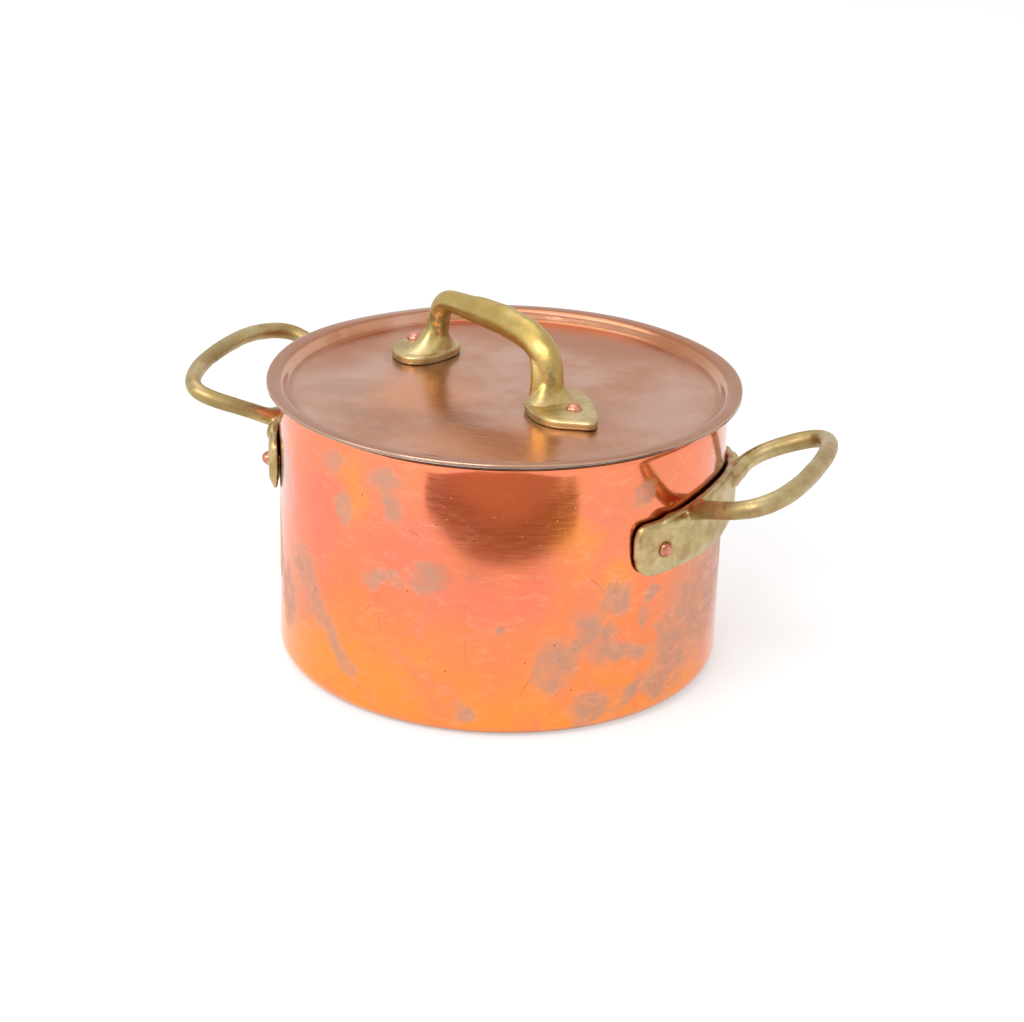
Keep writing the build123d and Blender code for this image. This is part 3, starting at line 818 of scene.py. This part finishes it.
RIGHT_LOOP = loop_bar((133.9, -52.3), (145.7, -29.0), (146.0, -0.3), (144.4, 28.9), (133.9, 52.6),
                      (3.6, 4.05))
LEFT_LOOP = loop_bar((134.2, -51.0), (146.2, -29.3), (146.6, 0.2), (143.5, 28.3), (133.4, 52.1),
                     (3.85, 3.75))
side_handle("right_loop_handle", "right_handle", RIGHT_LOOP, 0.9, 0, 0)
side_handle("left_loop_handle", "left_handle", LEFT_LOOP, 0.25, LEFT_TURN, LEFT_RISE)


# ---- rivets ----
def rivet(node, body, base, axis, head_at, seed):
    """Beaten rivet: a dome outside, a shank, and a broad head inside. The section is turned about
    the rivet's axis and the dome is pushed a little out of round."""
    height, shank, broad, thin = 3.0, 2.3, 5.5, 1.6
    t = np.linspace(0, np.pi / 2, 12)
    cap = np.stack([HEAD_RADIUS * np.sin(t), height * np.cos(t)], 1)
    skirt = np.array([(HEAD_RADIUS * 0.97, -0.25), (shank, -0.3), (shank, head_at + 0.2), (broad, head_at),
                      (broad, head_at - thin * 0.5), (broad * 0.8, head_at - thin), (0, head_at - thin)])
    grid = lathe(spread(np.vstack([cap, skirt]), 1.2), 40)
    flat = grid.reshape(-1, 3)
    top = smoothstep(flat[:, 2:] / height + 0.2)
    flat = flat + top * np.stack([0.16 * ripple(flat, 5.5, seed), 0.16 * ripple(flat, 5.5, seed + 1),
                                  0.22 * ripple(flat, 4.5, seed + 2)], 1)
    axis = np.asarray(axis, float) / np.linalg.norm(axis)
    side = np.cross(axis, (0, 0, 1) if abs(axis[2]) < 0.9 else (1, 0, 0))
    side /= np.linalg.norm(side)
    third = np.cross(axis, side)
    points = np.asarray(base) + flat[:, :1] * side + flat[:, 1:2] * third + flat[:, 2:] * axis
    beaten_rivet = make_mesh(node + "_beaten", *ringed(points.reshape(grid.shape)))
    place_piece(beaten_rivet, node, body, RIVET_COPPER)


LINING = POT_RADIUS - POT_TIN_DEPTH - TIN
for k, (name, angle, height, seat) in enumerate(WALL_RIVETS):
    a = math.radians(angle)
    base = (seat * math.cos(a), seat * math.sin(a), height)
    rivet(name, "pot", base, (math.cos(a), math.sin(a), 0), LINING - 0.2 - seat, 51 + 3 * k)


# ---- lid handle ----
def foot(outline, top_at, thickness=3.9, cols=120):
    """Ringed grid of one leaf-shaped foot: a closed B-spline outline, an upright edge with a worn
    arris, and a top that rises towards the post."""
    knots = np.asarray(outline, float)
    n = len(knots)
    m = np.eye(n) * 4 / 6 + (np.roll(np.eye(n), 1, 0) + np.roll(np.eye(n), -1, 0)) / 6
    control = np.linalg.solve(m, knots)
    control = np.vstack([control[-1:], control, control[:2]])
    ring = bspline(control, np.linspace(0, n, cols, endpoint=False))
    centre = np.array([top_at, ring[:, 1].mean()])
    shrink = np.array([0.0, 0.5, 0.97, 1.0, 1.0, 0.99, 0.97, 0.93, 0.8, 0.6, 0.4, 0.2, 0.0])
    arris = np.array([-1.1, -0.45, -0.15, 0, 0.1, 0.25, 0.45, 0.75, 1.0])
    rise = np.append([0, 0, 0, 0.3], thickness + arris)
    flat = centre + (ring[None] - centre) * shrink[:, None, None]
    z = np.broadcast_to(PANEL_Z + 0.05 + rise[:, None, None], flat.shape[:2] + (1,))
    return np.concatenate([flat, z], -1)


# Outlines of the feet along and across the handle, the bow's line along and up, and its half widths.
FRONT_FOOT = [(33.6, 14.5), (33.2, 0), (36.0, -10.0), (43.6, -15.4), (52.5, -17.8), (61, -16.9), (67, -12.6),
              (71.5, -8.0), (74.6, -4.2), (72.2, 0.6), (67.5, 4.6), (59.7, 9.9), (50.5, 14.6), (42.1, 17.4)]
BACK_FOOT = [(-33.3, -5), (-34.6, 3.5), (-37.8, 10.4), (-43.8, 14.3), (-51, 12.6), (-57, 7), (-60.3, 0.8),
             (-60.4, -5), (-58.6, -10.8), (-54.6, -15.6), (-49.4, -18.8), (-43.2, -20.0), (-37.6, -18.6),
             (-34.0, -13)]
BOW = [(-41.4, 126), (-41.0, 133), (-40.4, 140.5), (-38.3, 148.0), (-33.8, 152.0), (-27, 153.2), (-15, 154.0),
       (-4, 154.5), (8, 154.5), (19, 153.6), (28, 151.6), (34.8, 147.8), (38.9, 142.4), (40.8, 136),
       (41.6, 130), (42.0, 126)]
BOW_WIDE = [6.0, 5.4, 5.3, 5.2, 5.1, 5.2, 5.8, 6.4, 6.8, 6.9, 6.8, 6.6, 6.0, 5.4, 5.4, 6.0]
BOW_TALL = [5.4, 5.0, 4.9, 4.9, 4.9, 5.0, 5.5, 6.1, 6.5, 6.6, 6.6, 6.6, 6.2, 5.8, 5.8, 6.4]
# A second rib down the inner side of the front post.
RIB = [(33.2, -2.4, 147.8), (36.6, -3.9, 142.5), (38.2, -4.7, 136), (38.2, -4.9, 131), (37.4, -4.9, 126)]
ACROSS = np.array([0.0, 1.0, 0.0])
half_widths = smooth_curve(np.column_stack([BOW_WIDE, BOW_TALL]), 150)
bow_line = smooth_curve([(s, 0.0, z) for s, z in BOW], 150)
bow = tube(bow_line, ACROSS, half_widths[:, 0], half_widths[:, 1], 0.03, 36)
rib = tube(smooth_curve(RIB, 60), ACROSS, np.linspace(3.3, 3.8, 60), np.linspace(3.4, 4.2, 60), 0.0, 24)


def flare(base, base_radii, top, top_radii, turn, cols=72, rows=18):
    """Ringed grid of the skirt between a post and its foot: sections whose half widths run from
    the base's to the post's as a power of the height still to go. Each section is an ellipse
    squared off to four blunt ridges, the first at turn degrees from the corner."""
    t = np.linspace(0, 1, rows)[:, None, None]
    a = np.linspace(0, 2 * np.pi, cols, endpoint=False)[None, :, None]
    left = (1 - t) ** 2.3
    centre = np.asarray(top) + (np.asarray(base) - np.asarray(top)) * np.concatenate([left, left, 1 - t], -1)
    half = np.asarray(top_radii) + (np.asarray(base_radii) - np.asarray(top_radii)) * left
    ridges = 1 + 0.085 * np.cos(4 * (a - math.radians(45 + turn))) * (1 - np.abs(2 * t - 0.9))
    ring = np.concatenate([np.cos(a), np.sin(a)], -1) * half * ridges
    return capped(np.concatenate([ring, np.zeros_like(ring[..., :1])], -1) + centre)


def bow_relief(points):
    """Filing flats and casting dimples on the bow."""
    return 0.08 * ripple(points, 15, 71) + 0.03 * ripple(points, 7, 72) + 0.012 * ripple(points, 3, 73)


flares = [flare((42.5, -0.6, 126.6), (9.6, 14.0), (40.2, -0.5, 140.5), (4.5, 5.0), -20),
          flare((-43.6, -2.6, 126.4), (9.6, 15.4), (-40.9, -0.4, 143.0), (4.6, 4.6), -35)]
bow_grids = [turned(g, LID_TURN, LID_HANDLE_CENTRE)
             for g in (foot(FRONT_FOOT, 44), foot(BACK_FOOT, -43), bow, rib, *flares)]
place_piece(cast("lid_bow_handle", bow_grids, 0.47, 3, bow_relief), "lid_handle", "lid", BRASS)

LID_SEAT = 127.95
for name, side, seed in (("lid_rivet_right", 1, 81), ("lid_rivet_left", -1, 84)):
    base = turned(np.array([side * FOOT_RIVET, RIVET_ACROSS, LID_SEAT]), LID_TURN, LID_HANDLE_CENTRE)
    rivet(name, "lid", base, (0, 0, 1), PANEL_Z - LID_TIN_DEPTH - TIN - 0.03 - LID_SEAT, seed)


# ---- floor, light and camera ----
def plain(name, colour, glow=0.0):
    """Matt stage material, with an even glow where the stage has to read as plain white."""
    m = bpy.data.materials.new(name)
    m.use_nodes = True
    shader = m.node_tree.nodes["Principled BSDF"]
    shader.inputs["Base Color"].default_value = srgb(colour)
    shader.inputs["Roughness"].default_value = 0.9
    shader.inputs["Specular IOR Level"].default_value = 0.0
    shader.inputs["Emission Color"].default_value = (1, 1, 1, 1)
    shader.inputs["Emission Strength"].default_value = glow
    return m


def stage_sheet(name, corners, material):
    """Flat sheet of the stage, through its corners in mm."""
    mesh = bpy.data.meshes.new(name)
    mesh.from_pydata((np.asarray(corners, float) * MM).tolist(), [], [list(range(len(corners)))])
    o = bpy.data.objects.new(name, mesh)
    o.data.materials.append(material)
    bpy.context.scene.collection.objects.link(o)
    return o


FLOOR_REACH = 6000
floor_corners = [(x * FLOOR_REACH, y * FLOOR_REACH, -0.1) for x, y in ((-1, -1), (1, -1), (1, 1), (-1, 1))]
stage_sheet("pale_floor", floor_corners, plain("matt_white_floor", "#B4B4B4", 0.5))

CAMERA_AZIMUTH = math.radians(22.63)
CAMERA_ELEVATION = math.radians(22.72)
CAMERA_DISTANCE = 1204.0
CAMERA_ROLL = math.radians(1.65)
CAMERA_AIM = np.array([0.0, 0.0, 60.0])
LENS = 92.988
SHIFT = (0.01123, 0.009473)
toward = np.array([math.sin(CAMERA_AZIMUTH), -math.cos(CAMERA_AZIMUTH), 0.0])
sideways = np.array([math.cos(CAMERA_AZIMUTH), math.sin(CAMERA_AZIMUTH), 0.0])

# The table's edge and the dark room past it, which only the polished wall reflects: outlines
# sideways and towards the camera, and the rounding of their corners.
ROOM_EDGE = [(0, 284), (-209, 288), (-209, 356), (209, 352), (209, 280), (0, 284)]
ROOM = [(0, 354), (-182, 356), (-182, 1000), (182, 1000), (182, 352), (0, 354)]
for name, outline, bends, colour in (("dark_room_edge", ROOM_EDGE, [38, 14, 14, 38], "#84705C"),
                                     ("dark_room", ROOM, [6, 30, 30, 6], "#A58D76")):
    line = bent_line(outline, bends, 10)[:-1]
    corners = line[:, :1] * sideways + line[:, 1:] * toward + (0, 0, 0.5)
    room = stage_sheet(name, corners, plain(name + "_cloth", colour))
    room.visible_camera = False
    room.visible_diffuse = False
    room.visible_shadow = False

back = np.append(toward[:2] * math.cos(CAMERA_ELEVATION), math.sin(CAMERA_ELEVATION))
camera_data = bpy.data.cameras.new("camera")
camera = bpy.data.objects.new("camera", camera_data)
bpy.context.scene.collection.objects.link(camera)
bpy.context.scene.camera = camera
camera_data.sensor_width = 36
camera_data.lens = LENS
camera_data.shift_x, camera_data.shift_y = SHIFT
camera_data.clip_start, camera_data.clip_end = 0.05, 50
stand = Matrix.Translation(Vector((CAMERA_AIM + back * CAMERA_DISTANCE) * MM))
facing = Vector(-back).to_track_quat("-Z", "Y").to_matrix().to_4x4()
camera.matrix_world = stand @ facing @ Matrix.Rotation(CAMERA_ROLL, 4, "Z")


def soft_light(name, ahead, aside, height, aim_height, size, power):
    """Soft box, placed towards the camera and sideways from the pot's axis and at a height, and
    aimed at a height on the axis, all in mm."""
    data = bpy.data.lights.new(name, "AREA")
    data.shape = "RECTANGLE"
    data.size, data.size_y = (s * MM for s in size)
    data.energy = power
    o = bpy.data.objects.new(name, data)
    bpy.context.scene.collection.objects.link(o)
    place = Vector(ahead * toward + aside * sideways + (0, 0, height))
    o.location = place * MM
    o.rotation_euler = (Vector((0, 0, aim_height)) - place).to_track_quat("-Z", "Y").to_euler()


soft_light("overhead_box", -400, -300, 1500, 60, (1200, 900), 5)
soft_light("front_box", 1020, -560, 1180, 120, (1000, 300), 15)
soft_light("left_box", 500, -1400, 700, 60, (700, 1000), 3)

world = bpy.data.worlds.new("white_tent")
bpy.context.scene.world = world
world.use_nodes = True
world.node_tree.nodes["Background"].inputs["Color"].default_value = (1, 1, 1, 1)
world.node_tree.nodes["Background"].inputs["Strength"].default_value = 0.95
bpy.context.scene.view_settings.view_transform = "Standard"
